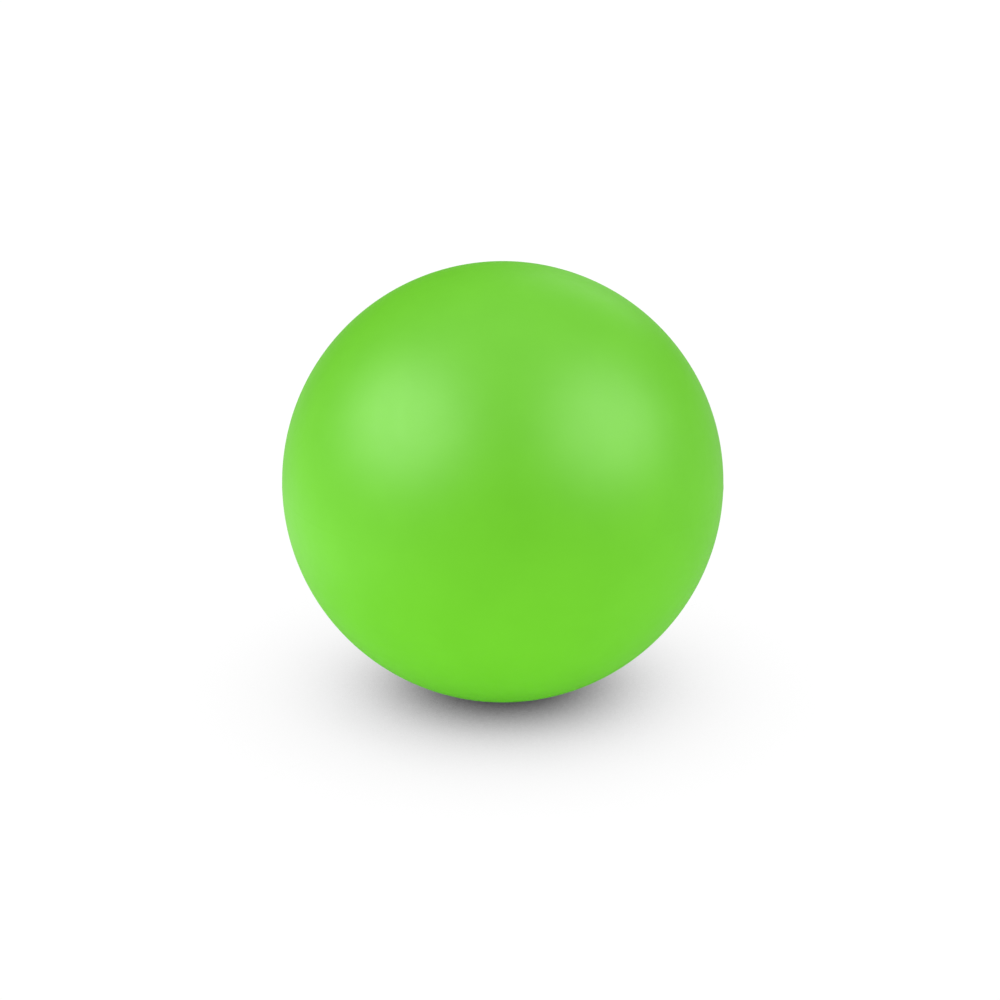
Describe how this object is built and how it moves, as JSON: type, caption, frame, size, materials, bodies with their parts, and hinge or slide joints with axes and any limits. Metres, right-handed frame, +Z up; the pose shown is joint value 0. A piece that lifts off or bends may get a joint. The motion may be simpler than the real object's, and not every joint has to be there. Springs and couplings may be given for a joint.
{
  "type": "stress ball",
  "caption": "Plain round foam stress ball: a dense satin skin over a soft foam core, which is squeezed in the hand and springs back.",
  "frame": {"origin": "centre of the resting patch, on the surface that the ball stands on", "axes": "+Z up through the ball's centre, along the squeeze; the ball is round about Z, so X and Y have no special direction"},
  "size_m": [0.063, 0.063, 0.0627],
  "materials": {
    "skin_coat": "satin",
    "soft_foam": "matte",
    "cut_foam": "matte"
  },
  "bodies": {
    "lower_half": {"lower_skin": "skin_coat", "foam_core": "soft_foam", "pour_plug": "cut_foam"},
    "upper_half": {"upper_skin": "skin_coat"}
  },
  "joints": [
    {"name": "squeeze", "type": "slide", "parent": "lower_half", "child": "upper_half", "axis": [0, 0, -1], "range_m": [0, 0.031], "stiffness_N_per_m": 2000, "deforming": ["upper_skin", "lower_skin", "foam_core", "pour_plug"]}
  ]
}
